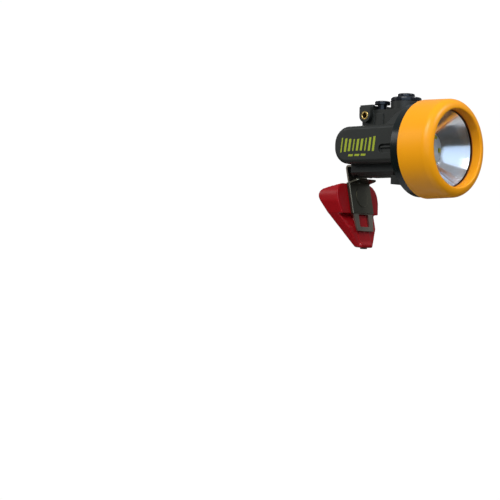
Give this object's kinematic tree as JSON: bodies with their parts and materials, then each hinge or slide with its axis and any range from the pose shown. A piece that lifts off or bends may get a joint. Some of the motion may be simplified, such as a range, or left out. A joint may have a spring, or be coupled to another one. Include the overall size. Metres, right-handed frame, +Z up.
{
  "type": "miner's cap lamp",
  "caption": "Cordless miner's cap lamp: round LED head with a wide bezel, push switches on top, and a steel hook that drops into a wedge bracket for a helmet front.",
  "frame": {"origin": "centre of the bracket's helmet-side face", "axes": "+Z up as worn, the beam points along -Y, +X to the wearer's left seen from the front"},
  "size_m": [0.0652, 0.1014, 0.104],
  "materials": {
    "bracket_red": "glossy red moulded plastic",
    "brass": "turned brass",
    "rubber_black": "matte black rubber",
    "sleeve_steel": "satin stainless sheet",
    "screw_steel": "plated steel",
    "housing_black": "fine textured black plastic",
    "bezel_yellow": "glossy orange-yellow plastic",
    "gasket_red": "red-brown rubber",
    "lens_clear": "clear polished",
    "reflector_mirror": "vacuum-metallised mirror",
    "board_white": "white solder mask",
    "led_phosphor": "yellow-green phosphor",
    "heat_sink_alu": "machined",
    "board_green": "green solder mask",
    "component_black": "moulded epoxy",
    "cell_wrap": "shrink wrap",
    "foam_black": "closed-cell foam",
    "hook_steel": "brushed stainless sheet",
    "switch_black": "glossy black plastic",
    "spring_steel": "spring wire",
    "print_green": "yellow-green pad print"
  },
  "bodies": {
    "bracket": {"helmet_bracket": "bracket_red", "bracket_inserts": "brass", "tip_pad": "rubber_black", "keeper_sleeve": "sleeve_steel", "keeper_rivets": "screw_steel"},
    "main_button": {"main_button": "switch_black"},
    "aux_button": {"aux_button": "switch_black"},
    "lamp": {"housing": "housing_black", "bezel_ring": "bezel_yellow", "bezel_lock_screw": "screw_steel", "bezel_o_ring": "rubber_black", "lens_gasket": "gasket_red", "lens": "lens_clear", "reflector": "reflector_mirror", "led_board": "board_white", "main_led": "led_phosphor", "aux_leds": "led_phosphor", "heat_sink": "heat_sink_alu", "driver_board": "board_green", "driver_parts": "component_black", "battery_cell_upper": "cell_wrap", "battery_cell_lower": "cell_wrap", "battery_pad": "foam_black", "battery_cover": "housing_black", "cover_seal": "rubber_black", "cover_screws": "screw_steel", "hook_strip": "hook_steel", "hook_screws": "screw_steel", "charge_bush_left": "brass", "charge_bush_right": "brass", "switch_collar": "switch_black", "aux_seal": "rubber_black", "main_spring": "spring_steel", "aux_spring": "spring_steel", "switch_board": "board_green", "main_switch_unit": "component_black", "aux_switch_unit": "component_black"}
  },
  "joints": [
    {"name": "hook_lift", "type": "slide", "parent": "bracket", "child": "lamp", "axis": [0, 0.2195, 0.9756], "range_m": [0, 0.036]},
    {"name": "main_press", "type": "slide", "parent": "lamp", "child": "main_button", "axis": [0, 0, -1], "range_m": [0, 0.0015], "stiffness_N_per_m": 900, "springref_m": -0.0015, "deforming": ["main_spring"]},
    {"name": "aux_press", "type": "slide", "parent": "lamp", "child": "aux_button", "axis": [0, 0, -1], "range_m": [0, 0.0015], "stiffness_N_per_m": 700, "springref_m": -0.0015, "deforming": ["aux_spring"]}
  ]
}
